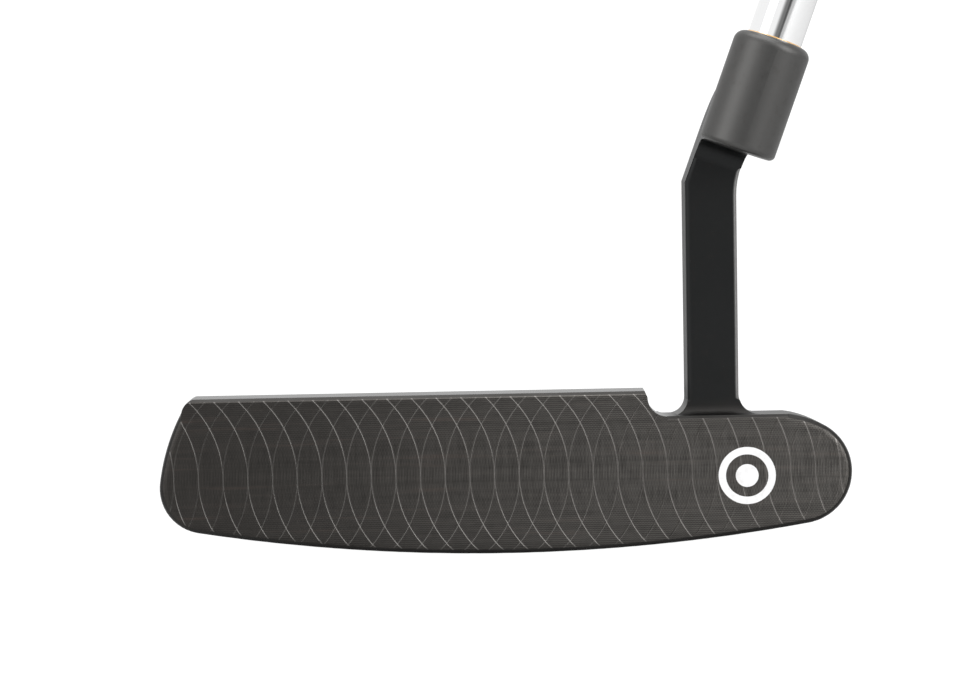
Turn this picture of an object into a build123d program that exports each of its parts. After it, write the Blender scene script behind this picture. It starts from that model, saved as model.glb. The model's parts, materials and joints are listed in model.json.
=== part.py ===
from build123d import *

import os
from math import atan2, cos, degrees, radians, sin, sqrt, tan

# Right-handed blade putter: milled head with a plumber's neck, steel shaft and pistol grip.
# Frame: +Z up, the face looks to -Y, the toe is at -X and the heel (the golfer's side) at +X.
# The origin is the point of the sole that touches the ground, under the middle of the head's length.
# All sizes are in millimetres.

os.makedirs("parts", exist_ok=True)

# ---------------- driving sizes

# club
club_length = 863.6             # ground to cap, along the shaft
lie_angle = 70.0                # shaft to ground, degrees
loft_angle = 3.0                # face to vertical, degrees

# head, seen square to the face
head_length = 121.2
head_height = 28.0
sole_radius = 325.0
toe_corner_radius = 7.9
toe_edge_radius = 35.8
toe_lean = 7.6                  # where the toe corner hands over to the toe edge, degrees above level
toe_crown = 1.9                 # height of the rounded top corner of the toe
toe_crown_radius = 3.0
heel_low_radius = 9.2
heel_high_radius = 17.0
heel_break = 8.0                # angle between the heel curve and the shelf, degrees
shelf_height = 23.55
notch_width = 7.2
notch_radius = 3.4
notch_lip = 0.9                 # small slope at the notch's upper corner

# head, seen from the side
ground_to_face = 12.5           # leading edge ahead of the contact point
head_depth = 25.5
blade_thickness = 6.3
bumper_height = 15.5
bumper_fall = 7.0               # slope of the bumper tops, degrees
bumper_root_radius = 5.0
heel_block_depth = 13.0
heel_block_start = 33.4         # from the heel end
rear_corner_radius = 18.0
cavity_toe_margin = 24.0        # from the toe end
cavity_heel_margin = 35.5       # from the heel end
cavity_corner_radius = 6.0
cavity_floor_radius = 3.0
leading_edge_radius = 1.4
topline_chamfer = 0.6

# plumber's neck
post_from_heel = 19.47
post_width = 8.98
post_depth = 8.6
post_setback = 3.9              # post's front behind the leading edge
post_cove = 2.0                 # hollow corner between the post's front and the shelf
post_toe_flare = 2.9
post_heel_flare = 3.5
foot_lip = 0.2                  # flat left at the root of each flare
bend_height = 64.2
bend_radius = 14.0
barrel_radius = 6.67
barrel_rise = 8.0               # bend to the barrel's lower end, along the shaft
barrel_length = 19.7
barrel_top_radius = 1.8
barrel_low_radius = 1.0
barrel_forward = 4.7            # shaft centre ahead of the leading edge
neck_inset = 0.94               # neck's toe side inside the barrel's
bridge_height = 9.5
bridge_radius = 3.5
bridge_crown_radius = 8.0
bore_depth = 17.5
bore_mouth = 0.25

# shaft
shaft_tip_radius = 4.70
shaft_butt_radius = 7.37
shaft_wall = 0.45
shaft_tip_length = 222.0        # parallel tip section
shaft_steps = 11
shaft_step_length = 22.0
step_ramp = 0.8                 # length of the slope at each step
glue_thickness = 0.08
glue_floor = 0.3
glue_bead = 0.2
plug_length = 5.0
band_offset = 14.0              # above the last step
band_length = 30.0
band_thickness = 0.12

# grip
grip_length = 266.7
tape_thickness = 0.15
tape_end_gap = 3.0
cap_height = 4.0
cap_edge_radius = 1.8
vent_radius = 1.6
grip_corner_radius = 3.4
# sections from the mouth to the cap: share of the length, width, front and back of the shaft's centre
grip_shape = (
    (0.0, 19.6, 9.2, 9.9),
    (0.12, 21.6, 9.5, 10.6),
    (0.42, 24.0, 9.9, 12.0),
    (0.70, 25.2, 10.2, 15.4),
    (0.90, 25.6, 10.4, 20.4),
    (1.0, 25.0, 10.2, 20.9),
)

# sole plate and its screws
plate_length = 56.0
plate_width = 14.0
plate_land = 0.47               # straight stretch of the screw hole above its seat
plate_from_face = 14.0
plate_clearance = 0.1
screw_spacing = 40.0
screw_radius = 1.97
screw_head_radius = 3.7
screw_recess = 0.9              # screw's face above the ground
screw_rim = 0.3
screw_clearance = 0.15
thread_clearance = 0.03
thread_engagement = 3.4
thread_runout = 0.3             # hole beyond the screw's tip
floor_over_thread = 1.6         # steel left between the threaded holes and the flange's floor
drive_width = 2.5
drive_depth = 1.5

# paint filled marks
mark_from_heel = 18.5
mark_height = 13.0
mark_radius = 5.0
mark_ring = 1.3
mark_dot_radius = 2.0
mark_depth = 0.25
sight_length = 15.0
sight_width = 1.6
sight_depth = 0.5
sight_from_face = 17.0

# how far cutting shapes run past the steel
past = 1.0
well_past = 10.0

# ---------------- derived places

plate_height = screw_recess + screw_rim + screw_head_radius - screw_radius + plate_land
thread_depth = thread_engagement + thread_runout
cavity_floor = plate_height + thread_depth + floor_over_thread

heel_x = head_length / 2
toe_x = -head_length / 2
leading_y = -ground_to_face
rear_y = leading_y + head_depth
lean = radians(90 - lie_angle)

# neck: the toe side bends from upright to the shaft's lean where it meets the barrel's toe side
post_heel_x = heel_x - post_from_heel
post_toe_x = post_heel_x - post_width
post_front_y = leading_y + post_setback
neck_toe_side = -(barrel_radius - neck_inset)
neck_heel_side = neck_toe_side + post_width * cos(lean)
shaft_ground_x = post_toe_x - (bend_height * sin(lean) + neck_toe_side) / cos(lean)
shaft_y = leading_y - barrel_forward
bend_station = (post_toe_x - shaft_ground_x) * sin(lean) + bend_height * cos(lean)
barrel_low = bend_station + barrel_rise
barrel_high = barrel_low + barrel_length
bridge_top = barrel_low + bridge_height

# shaft stations, counted along the shaft from the ground
bore_radius = shaft_tip_radius + glue_thickness
bore_floor = barrel_high - bore_depth
shaft_start = bore_floor + glue_floor
shaft_end = club_length - cap_height
steps_start = shaft_start + shaft_tip_length
steps_end = steps_start + shaft_steps * shaft_step_length
band_start = steps_end + band_offset
grip_start = club_length - grip_length
grip_end = shaft_end
tape_radius = shaft_butt_radius + tape_thickness
grip_body_length = grip_end - grip_start
step_rise = (shaft_butt_radius - shaft_tip_radius) / shaft_steps

face_slope = tan(radians(loft_angle))
blade_back_y = leading_y + blade_thickness / cos(radians(loft_angle))
plate_y = leading_y + plate_from_face
sight_y = leading_y + sight_from_face
heel_block_x = heel_x - heel_block_start
mark_x = heel_x - mark_from_heel
face_plane = Plane(
    origin=(0, leading_y, 0),
    x_dir=(1, 0, 0),
    z_dir=(0, -cos(radians(loft_angle)), sin(radians(loft_angle))),
)
shaft_plane = Plane(
    origin=(shaft_ground_x, shaft_y, 0), x_dir=(0, 1, 0), z_dir=(sin(lean), 0, cos(lean))
)
# through the shaft's centre line: x is the radius (to +Y), y runs up the shaft
shaft_section = Plane(
    origin=shaft_plane.origin, x_dir=(0, 1, 0), z_dir=(cos(lean), 0, -sin(lean))
)
shaft_axis = Axis(shaft_plane.origin, shaft_plane.z_dir)


def upright(y):
    """Plane square to the ground line at y, drawn in X and Z; extruding by a minus amount goes back."""
    return Plane.XZ.offset(-y)


def on_neck(station, side):
    """Point in X and Z at a station up the shaft, and to its heel side."""
    x = shaft_ground_x + station * sin(lean) + side * cos(lean)
    return (x, station * cos(lean) - side * sin(lean))


# ---------------- head outline, in X and Z

toe_corner_x = toe_x + toe_corner_radius
toe_corner_z = sole_radius - sqrt((sole_radius - toe_corner_radius) ** 2 - toe_corner_x**2)
toe_sole_angle = degrees(atan2(toe_corner_z - sole_radius, toe_corner_x)) % 360
toe_edge_x = toe_corner_x + (toe_edge_radius - toe_corner_radius) * cos(radians(toe_lean))
toe_edge_z = toe_corner_z - (toe_edge_radius - toe_corner_radius) * sin(radians(toe_lean))
toe_crown_z = head_height - toe_crown
toe_crown_x = toe_edge_x - sqrt(toe_edge_radius**2 - (toe_crown_z - toe_edge_z) ** 2)
toe_crown_angle = degrees(atan2(toe_crown_z - toe_edge_z, toe_crown_x - toe_edge_x))

heel_low_x = heel_x - heel_low_radius
heel_low_z = sole_radius - sqrt((sole_radius - heel_low_radius) ** 2 - heel_low_x**2)
heel_sole_angle = degrees(atan2(heel_low_z - sole_radius, heel_low_x)) % 360
heel_high_z = shelf_height - heel_high_radius * cos(radians(heel_break))
heel_high_x = heel_low_x - sqrt(
    (heel_high_radius - heel_low_radius) ** 2 - (heel_low_z - heel_high_z) ** 2
)
heel_hand_over = degrees(atan2(heel_low_z - heel_high_z, heel_low_x - heel_high_x))
shelf_end_x = heel_high_x + heel_high_radius * sin(radians(heel_break))

notch_heel_x = post_toe_x
notch_toe_x = notch_heel_x - notch_width
notch_floor_x = notch_toe_x + notch_radius


def curve(x, z, radius, start, end):
    """Arc about (x, z) from one angle to another."""
    return CenterArc((x, z), radius, start, end - start)


with BuildSketch(upright(leading_y - past)) as head_outline:
    with BuildLine():
        curve(0, sole_radius, sole_radius, toe_sole_angle, heel_sole_angle)
        curve(heel_low_x, heel_low_z, heel_low_radius, heel_sole_angle - 360, heel_hand_over)
        curve(heel_high_x, heel_high_z, heel_high_radius, heel_hand_over, 90 - heel_break)
        Line((shelf_end_x, shelf_height), (notch_floor_x, shelf_height))
        curve(notch_floor_x, shelf_height + notch_radius, notch_radius, 270, 180)
        Polyline(
            (notch_toe_x, shelf_height + notch_radius),
            (notch_toe_x - notch_lip / 2, head_height),
            (toe_crown_x + toe_crown, head_height),
        )
        RadiusArc(
            (toe_crown_x + toe_crown, head_height), (toe_crown_x, toe_crown_z), -toe_crown_radius
        )
        curve(toe_edge_x, toe_edge_z, toe_edge_radius, toe_crown_angle, 180 - toe_lean)
        curve(toe_corner_x, toe_corner_z, toe_corner_radius, 180 - toe_lean, toe_sole_angle)
    make_face()


# ---------------- head

def behind(front_y, slope, floor_z, fall, root_radius, start_x, end_x):
    """What lies behind a front, leaning by slope, and above a floor that falls to the rear."""
    back_y = rear_y + well_past
    top_z = head_height + well_past
    with BuildSketch(Plane.YZ.offset(start_x)) as side:
        with BuildLine():
            FilletPolyline(
                (front_y + top_z * slope, top_z),
                (front_y + floor_z * slope, floor_z),
                (back_y, floor_z - (back_y - front_y) * tan(radians(fall))),
                (back_y, top_z),
                radius=(0, root_radius, 0, 0),
                close=True,
            )
        make_face()
    return extrude(side.sketch, amount=end_x - start_x, mode=Mode.PRIVATE)


def front_edge_cut(height, start_x, end_x):
    """Prism that bevels the face's upper edge at a height."""
    edge_y = leading_y + height * face_slope
    with BuildSketch(Plane.YZ.offset(start_x)) as side:
        with BuildLine():
            Polyline(
                (edge_y - past, height - topline_chamfer - past),
                (edge_y + topline_chamfer + past, height + past),
                (edge_y - past, height + past),
                close=True,
            )
        make_face()
    return extrude(side.sketch, amount=end_x - start_x, mode=Mode.PRIVATE)


def screw_form(screw_x, clearance, face_z, tip_z):
    """Countersunk screw, or its seat when there is a clearance."""
    radius = screw_radius + clearance
    head_edge = screw_head_radius + clearance
    rim_z = screw_recess + screw_rim
    with BuildSketch(Plane.XZ.offset(-plate_y).shift_origin((screw_x, plate_y, 0))) as side:
        with BuildLine():
            Polyline(
                (0, face_z),
                (head_edge, face_z),
                (head_edge, rim_z),
                (radius, rim_z + head_edge - radius),
                (radius, tip_z),
                (0, tip_z),
                close=True,
            )
        make_face()
    axis = Axis((screw_x, plate_y, 0), (0, 0, 1))
    return revolve(side.sketch, axis=axis, mode=Mode.PRIVATE)


with BuildPart() as cavity:
    add(
        behind(
            blade_back_y,
            face_slope,
            cavity_floor,
            0,
            0,
            toe_x + cavity_toe_margin,
            heel_x - cavity_heel_margin,
        )
    )
    corners = cavity.faces().sort_by(Axis.Y)[0].edges().filter_by(Axis.X, reverse=True)
    fillet(corners, cavity_corner_radius)
    fillet(cavity.faces().sort_by(Axis.Z)[0].edges(), cavity_floor_radius)

with BuildPart() as head_plan:
    with BuildSketch(Plane.XY.offset(-past)):
        with BuildLine():
            FilletPolyline(
                (toe_x - past, leading_y - well_past),
                (toe_x - past, rear_y),
                (heel_x + past, rear_y),
                (heel_x + past, leading_y - well_past),
                radius=(0, rear_corner_radius, rear_corner_radius, 0),
                close=True,
            )
        make_face()
    extrude(amount=head_height + 2 * past)

# bent bar of the post, with its flared foot
with BuildSketch(upright(post_front_y)) as post_outline:
    with BuildLine():
        FilletPolyline(
            (post_toe_x - post_toe_flare - foot_lip, cavity_floor),
            (post_toe_x - post_toe_flare - foot_lip, shelf_height),
            (post_toe_x, shelf_height),
            (post_toe_x, bend_height),
            on_neck(bridge_top, neck_toe_side),
            on_neck(bridge_top, neck_heel_side),
            (post_heel_x, bend_height),
            (post_heel_x, shelf_height),
            (post_heel_x + post_heel_flare + foot_lip, shelf_height),
            (post_heel_x + post_heel_flare + foot_lip, cavity_floor),
            radius=(0, 0, post_toe_flare, 0, 0, 0, bend_radius, post_heel_flare, 0, 0),
            close=True,
        )
    make_face()

with BuildPart() as post_foot:
    extrude(post_outline.sketch, amount=post_cove)
    with BuildSketch(Plane.YZ.offset(post_toe_x - well_past)):
        with Locations((post_front_y, shelf_height - past)):
            Rectangle(post_cove, post_cove + past, align=(Align.MAX, Align.MIN))
        with Locations((post_front_y - post_cove, shelf_height + post_cove)):
            Circle(post_cove, mode=Mode.SUBTRACT)
    extrude(amount=post_width + 2 * well_past, mode=Mode.INTERSECT)

with BuildPart() as neck:
    extrude(post_outline.sketch, amount=-post_depth)
    # bridge from the post to the barrel
    with BuildSketch(upright(shaft_y)):
        with BuildLine():
            Polyline(
                on_neck(barrel_low, neck_toe_side),
                on_neck(barrel_low, neck_heel_side),
                on_neck(bridge_top, neck_heel_side),
                on_neck(bridge_top, neck_toe_side),
                close=True,
            )
        make_face()
    extrude(amount=-(post_front_y - shaft_y))
    crown = neck.faces().sort_by(shaft_axis)[-1]
    fillet(crown.edges().sort_by(Axis.Y)[-1], bridge_crown_radius)
    on_front = neck.edges().filter_by_position(Axis.Y, post_front_y, post_front_y)
    across = on_front.filter_by(lambda edge: abs((edge % 0.5).dot(shaft_axis.direction)) < 0.01)
    under_barrel = across.filter_by(lambda edge: edge.center().Z > bend_height)
    fillet(under_barrel.sort_by(shaft_axis)[0], bridge_radius)

with BuildPart() as head:
    extrude(head_outline.sketch, amount=-(head_depth + past))
    split(bisect_by=face_plane, keep=Keep.BOTTOM)
    face_edges = head.faces().sort_by(Axis.Y)[0].edges()
    below_shelf = face_edges.filter_by(lambda edge: edge.center().Z < shelf_height - leading_edge_radius)
    fillet(below_shelf, leading_edge_radius)
    add(front_edge_cut(head_height, toe_x, notch_toe_x), mode=Mode.SUBTRACT)
    add(front_edge_cut(shelf_height, notch_floor_x, shelf_end_x), mode=Mode.SUBTRACT)
    add(head_plan.part, mode=Mode.INTERSECT)
    # behind the blade, behind the heel block, and the cavity between the bumpers
    add(
        behind(
            blade_back_y,
            face_slope,
            bumper_height,
            bumper_fall,
            bumper_root_radius,
            toe_x - past,
            heel_block_x,
        ),
        mode=Mode.SUBTRACT,
    )
    add(
        behind(
            leading_y + heel_block_depth,
            0,
            bumper_height,
            bumper_fall,
            bumper_root_radius,
            heel_block_x - past,
            heel_x + past,
        ),
        mode=Mode.SUBTRACT,
    )
    add(cavity.part, mode=Mode.SUBTRACT)
    # neck and barrel
    add(neck.part)
    add(post_foot.part)
    with BuildSketch(shaft_section):
        with BuildLine():
            FilletPolyline(
                (0, barrel_low),
                (barrel_radius, barrel_low),
                (barrel_radius, barrel_high),
                (0, barrel_high),
                radius=(0, barrel_low_radius, barrel_top_radius, 0),
                close=True,
            )
        make_face()
    revolve(axis=shaft_axis)
    # bore for the shaft, and the shallow bevel at its mouth
    with BuildSketch(shaft_section):
        with BuildLine():
            Polyline(
                (0, bore_floor),
                (bore_radius, bore_floor),
                (bore_radius, barrel_high - bore_mouth),
                (bore_radius + bore_mouth, barrel_high),
                (bore_radius + bore_mouth, barrel_high + past),
                (0, barrel_high + past),
                close=True,
            )
        make_face()
    revolve(axis=shaft_axis, mode=Mode.SUBTRACT)
    # pocket and threaded holes for the sole plate
    with BuildSketch(Plane.XY.offset(-past)):
        with Locations((0, plate_y)):
            SlotOverall(plate_length + 2 * plate_clearance, plate_width + 2 * plate_clearance)
    extrude(amount=plate_height + past, mode=Mode.SUBTRACT)
    with BuildSketch(Plane.XY.offset(plate_height)):
        with Locations((0, plate_y)), GridLocations(screw_spacing, 0, 2, 1):
            Circle(screw_radius + thread_clearance)
    extrude(amount=thread_depth, mode=Mode.SUBTRACT)
    # grooves for the paint: ring and dot on the face, sight line on the flange
    with BuildSketch(face_plane):
        with Locations((mark_x, mark_height)):
            Circle(mark_radius)
            Circle(mark_radius - mark_ring, mode=Mode.SUBTRACT)
            Circle(mark_dot_radius)
    extrude(amount=-mark_depth, mode=Mode.SUBTRACT)
    with BuildSketch(Plane.XY.offset(cavity_floor)):
        with Locations((0, sight_y)):
            SlotOverall(sight_length, sight_width, rotation=90)
    extrude(amount=-sight_depth, mode=Mode.SUBTRACT)

head.part.label = "head"
export_step(head.part, "parts/head.step")

# ---------------- paint in the face mark and sight line

with BuildPart() as face_mark_fill:
    with BuildSketch(face_plane):
        with Locations((mark_x, mark_height)):
            Circle(mark_radius)
            Circle(mark_radius - mark_ring, mode=Mode.SUBTRACT)
            Circle(mark_dot_radius)
    extrude(amount=-mark_depth)

face_mark_fill.part.label = "face_mark_fill"
export_step(face_mark_fill.part, "parts/face_mark_fill.step")

with BuildPart() as sight_line_fill:
    with BuildSketch(Plane.XY.offset(cavity_floor)):
        with Locations((0, sight_y)):
            SlotOverall(sight_length, sight_width, rotation=90)
    extrude(amount=-sight_depth)

sight_line_fill.part.label = "sight_line_fill"
export_step(sight_line_fill.part, "parts/sight_line_fill.step")

# ---------------- sole plate, flush with the sole

with BuildPart() as sole_plate:
    with BuildSketch(upright(leading_y)):
        with Locations((0, sole_radius)):
            Circle(sole_radius)
        with Locations((0, plate_height)):
            Rectangle(
                head_length, plate_height + past, align=(Align.CENTER, Align.MAX), mode=Mode.INTERSECT
            )
    extrude(amount=-head_depth)
    with BuildSketch(Plane.XY.offset(-past)):
        with Locations((0, plate_y)):
            SlotOverall(plate_length, plate_width)
    extrude(amount=plate_height + past, mode=Mode.INTERSECT)
    for screw_x in (-screw_spacing / 2, screw_spacing / 2):
        add(screw_form(screw_x, screw_clearance, -past, plate_height + past), mode=Mode.SUBTRACT)

sole_plate.part.label = "sole_plate"
export_step(sole_plate.part, "parts/sole_plate.step")

# ---------------- countersunk screws with a six-sided socket

for name, screw_x in (("toe", -screw_spacing / 2), ("heel", screw_spacing / 2)):
    with BuildPart() as sole_screw:
        add(screw_form(screw_x, 0, screw_recess, plate_height + thread_engagement))
        with BuildSketch(Plane.XY.offset(screw_recess)):
            with Locations((screw_x, plate_y)):
                RegularPolygon(drive_width / 2, 6, major_radius=False)
        extrude(amount=drive_depth, mode=Mode.SUBTRACT)
    sole_screw.part.label = "sole_screw_" + name
    export_step(sole_screw.part, "parts/sole_screw_" + name + ".step")

# ---------------- shaft: stepped steel tube

with BuildPart() as shaft:
    with BuildSketch(shaft_section):
        with BuildLine():
            outside = [(shaft_tip_radius, shaft_start)]
            for step in range(shaft_steps):
                radius = shaft_tip_radius + step * step_rise
                station = steps_start + step * shaft_step_length
                outside += [(radius, station), (radius + step_rise, station + step_ramp)]
            outside.append((shaft_butt_radius, shaft_end))
            inside = [(radius - shaft_wall, station) for radius, station in reversed(outside)]
            Polyline(*outside, *inside, close=True)
        make_face()
    revolve(axis=shaft_axis)

shaft.part.label = "shaft"
export_step(shaft.part, "parts/shaft.step")


def ring(inner, outer, low, high):
    """Tube about the shaft's centre line, or a disc when the inner radius is nothing."""
    with BuildSketch(shaft_section) as half:
        with BuildLine():
            Polyline((inner, low), (outer, low), (outer, high), (inner, high), close=True)
        make_face()
    return revolve(half.sketch, axis=shaft_axis, mode=Mode.PRIVATE)


# ---------------- glue that holds the shaft in the barrel

with BuildPart() as hosel_epoxy:
    with BuildSketch(shaft_section):
        with BuildLine():
            Polyline(
                (0, bore_floor),
                (bore_radius, bore_floor),
                (bore_radius, barrel_high - bore_mouth),
                (bore_radius + bore_mouth, barrel_high),
                (shaft_tip_radius, barrel_high + glue_bead),
                (shaft_tip_radius, shaft_start),
                (0, shaft_start),
                close=True,
            )
        make_face()
    revolve(axis=shaft_axis)

hosel_epoxy.part.label = "hosel_epoxy"
export_step(hosel_epoxy.part, "parts/hosel_epoxy.step")

# ---------------- plug in the shaft's tip, and its label band

with BuildPart() as shaft_tip_plug:
    add(ring(0, shaft_tip_radius - shaft_wall, shaft_start, shaft_start + plug_length))

shaft_tip_plug.part.label = "shaft_tip_plug"
export_step(shaft_tip_plug.part, "parts/shaft_tip_plug.step")

with BuildPart() as shaft_band:
    add(
        ring(
            shaft_butt_radius,
            shaft_butt_radius + band_thickness,
            band_start,
            band_start + band_length,
        )
    )

shaft_band.part.label = "shaft_band"
export_step(shaft_band.part, "parts/shaft_band.step")

# ---------------- grip tape under the grip

with BuildPart() as grip_tape:
    add(ring(shaft_butt_radius, tape_radius, grip_start + tape_end_gap, shaft_end))

grip_tape.part.label = "grip_tape"
export_step(grip_tape.part, "parts/grip_tape.step")

# ---------------- pistol grip with a flat front


def grip_section(station, width, front, back):
    """Flat front towards local +Y, rounded back, on the plane across the shaft at a station."""
    half = width / 2
    with BuildSketch(shaft_plane.offset(station)) as section:
        with BuildLine():
            EllipticalCenterArc((0, 0), half, back, start_angle=180, arc_size=180)
            FilletPolyline(
                (half, 0), (half, front), (-half, front), (-half, 0), radius=grip_corner_radius
            )
        make_face()
    return section.sketch


with BuildPart() as grip:
    loft(
        [
            grip_section(grip_start + share * grip_body_length, width, front, back)
            for share, width, front, back in grip_shape
        ]
    )
    mouth_end = grip_start + tape_end_gap
    add(ring(0, shaft_butt_radius, grip_start - past, mouth_end), mode=Mode.SUBTRACT)
    add(ring(0, tape_radius, mouth_end, grip_end + past), mode=Mode.SUBTRACT)

grip.part.label = "grip"
export_step(grip.part, "parts/grip.step")

# ---------------- cap that closes the grip

with BuildPart() as grip_cap:
    share, width, front, back = grip_shape[-1]
    extrude(grip_section(grip_end, width, front, back), amount=cap_height)
    fillet(grip_cap.faces().sort_by(shaft_axis)[-1].edges(), cap_edge_radius)
    add(ring(0, vent_radius, grip_end - past, club_length + past), mode=Mode.SUBTRACT)

grip_cap.part.label = "grip_cap"
export_step(grip_cap.part, "parts/grip_cap.step")
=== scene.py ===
import json
import math

import bmesh
import bpy
from mathutils import Matrix, Vector

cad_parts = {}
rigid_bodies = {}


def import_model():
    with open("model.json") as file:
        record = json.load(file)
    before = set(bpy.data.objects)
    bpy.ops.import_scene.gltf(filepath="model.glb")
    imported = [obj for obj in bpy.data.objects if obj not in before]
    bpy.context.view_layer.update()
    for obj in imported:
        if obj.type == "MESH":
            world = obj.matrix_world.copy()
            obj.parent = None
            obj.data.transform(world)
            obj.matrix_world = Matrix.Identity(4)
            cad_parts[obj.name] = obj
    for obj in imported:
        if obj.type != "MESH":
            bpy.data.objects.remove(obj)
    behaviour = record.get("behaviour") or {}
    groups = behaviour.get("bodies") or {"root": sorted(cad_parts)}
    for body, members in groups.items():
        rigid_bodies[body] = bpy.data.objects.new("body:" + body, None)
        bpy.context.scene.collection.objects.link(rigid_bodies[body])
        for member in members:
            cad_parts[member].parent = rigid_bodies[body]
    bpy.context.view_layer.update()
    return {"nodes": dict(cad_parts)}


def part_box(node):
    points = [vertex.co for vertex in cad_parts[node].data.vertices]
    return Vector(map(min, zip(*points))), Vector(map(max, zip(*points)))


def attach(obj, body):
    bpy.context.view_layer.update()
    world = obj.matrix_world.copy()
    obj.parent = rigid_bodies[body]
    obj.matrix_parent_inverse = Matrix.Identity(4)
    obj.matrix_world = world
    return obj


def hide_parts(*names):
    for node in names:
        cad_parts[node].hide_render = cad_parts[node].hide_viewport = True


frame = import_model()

mm = 0.001  # sizes below are in millimetres, and meshes in metres

# the club's own lines, which several pieces share
club = {
    "lean": 20.0,            # shaft to upright, degrees
    "groundX": 14.881,       # where the shaft's centre line meets the ground
    "shaftY": -17.2,
    "leadingY": -12.5,
    "loft": 3.0,
}
lean = math.radians(club["lean"])
loft = math.radians(club["loft"])
shaftBase = Vector((club["groundX"], club["shaftY"], 0)) * mm
shaftUp = Vector((math.sin(lean), 0, math.cos(lean)))
gripFront = Vector((-math.cos(lean), 0, math.sin(lean)))
shaftTurn = Matrix((Vector((0, 1, 0)), gripFront, shaftUp)).transposed().to_4x4()
shaftPlace = Matrix.Translation(shaftBase) @ shaftTurn


class Field:  # a socket that adds Math nodes when it is reckoned with
    def __init__(self, owner, socket):
        self.owner = owner
        self.socket = socket

    def reckon(self, operation, first, second=0.0, third=0.0):
        sockets = {0: first, 1: second, 2: third}
        return self.owner.add("ShaderNodeMath", {"operation": operation}, sockets)

    def __add__(self, other):
        return self.reckon("ADD", self, other)

    def __sub__(self, other):
        return self.reckon("SUBTRACT", self, other)

    def __rsub__(self, other):
        return self.reckon("SUBTRACT", other, self)

    def __mul__(self, other):
        return self.reckon("MULTIPLY", self, other)

    def __truediv__(self, other):
        return self.reckon("DIVIDE", self, other)

    def __rtruediv__(self, other):
        return self.reckon("DIVIDE", other, self)

    def __abs__(self):
        return self.reckon("ABSOLUTE", self)

    __radd__ = __add__
    __rmul__ = __mul__

    def root(self):
        return self.reckon("SQRT", self.reckon("MAXIMUM", self, 0.0))

    def sine(self):
        return self.reckon("SINE", self)

    def toWhole(self):  # distance to the nearest whole number
        return self.reckon("PINGPONG", self, 0.5)

    def rise(self, low, high):  # 0 below low and 1 above high, smooth between
        settings = {"interpolation_type": "SMOOTHSTEP"}
        sockets = {"Value": self, "From Min": low, "From Max": high}
        return self.owner.add("ShaderNodeMapRange", settings, sockets)

    def fall(self, low, high):
        return 1 - self.rise(low, high)


class NodeTree:  # a tree that nodes are added to
    def __init__(self, tree):
        self.tree = tree

    def add(self, kind, settings, sockets, output=0):
        node = self.tree.nodes.new(kind)
        for name, value in settings.items():
            setattr(node, name, value)
        for name, value in sockets.items():
            if isinstance(value, Field):
                self.tree.links.new(value.socket, node.inputs[name])
            else:
                node.inputs[name].default_value = value
        return Field(self, node.outputs[output])

    def choose(self, share, first, second):
        return self.add("ShaderNodeMixShader", {}, {0: share, 1: first, 2: second})

    def seenDirectly(self):
        return self.add("ShaderNodeLightPath", {}, {}, "Is Camera Ray")

    def end(self, output, surface):
        self.tree.links.new(surface.socket, self.tree.nodes[output].inputs["Surface"])


class Finish(NodeTree):  # one material and the nodes that make it
    def __init__(self, name, **values):
        self.material = bpy.data.materials.new(name)
        self.material.use_nodes = True
        super().__init__(self.material.node_tree)
        self.shader = self.tree.nodes["Principled BSDF"]
        for socket, value in values.items():
            self.shader.inputs[socket.replace("_", " ")].default_value = value
        scaled = {0: self.add("ShaderNodeTexCoord", {}, {}, "Object"), "Scale": 1 / mm}
        self.place = self.add("ShaderNodeVectorMath", {"operation": "SCALE"}, scaled)
        self.x, self.y, self.z = self.split(self.place)

    def split(self, vector):
        made = self.add("ShaderNodeSeparateXYZ", {}, {0: vector}).socket.node
        return [Field(self, made.outputs[axis]) for axis in ("X", "Y", "Z")]

    def join(self, x, y, z):
        return self.add("ShaderNodeCombineXYZ", {}, {"X": x, "Y": y, "Z": z})

    def mix(self, share, first, second):
        sockets = {"Factor": share, 6: first, 7: second}
        return self.add("ShaderNodeMix", {"data_type": "RGBA"}, sockets, 2)

    def noise(self, scale, detail=3.0, roughness=0.5, place=None):
        sockets = {"Vector": place or self.place, "Scale": scale, "Detail": detail, "Roughness": roughness}
        return self.add("ShaderNodeTexNoise", {}, sockets)

    def bump(self, height, distance, strength=1.0, normal=None):  # distance in millimetres
        sockets = {"Height": height, "Distance": distance * mm, "Strength": strength}
        if normal:
            sockets["Normal"] = normal
        return self.add("ShaderNodeBump", {}, sockets)

    def turned(self):  # across the shaft, towards its flat front, and along it
        base = tuple(shaftBase / mm)
        moved = self.add("ShaderNodeVectorMath", {"operation": "SUBTRACT"}, {0: self.place, 1: base})
        axes = (Vector((0, 1, 0)), gripFront, shaftUp)
        dot = {"operation": "DOT_PRODUCT"}
        return [self.add("ShaderNodeVectorMath", dot, {0: moved, 1: tuple(a)}, "Value") for a in axes]

    def feed(self, **links):
        for name, value in links.items():
            self.tree.links.new(value.socket, self.shader.inputs[name.replace("_", " ")])
        return self.material


def grey(level, warmth=0.0):
    return (level * (1 + warmth), level, level * (1 - warmth), 1.0)


def bareObject(name, bm):
    mesh = bpy.data.meshes.new(name)
    bm.to_mesh(mesh)
    bm.free()
    return bpy.data.objects.new(name, mesh)


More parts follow.
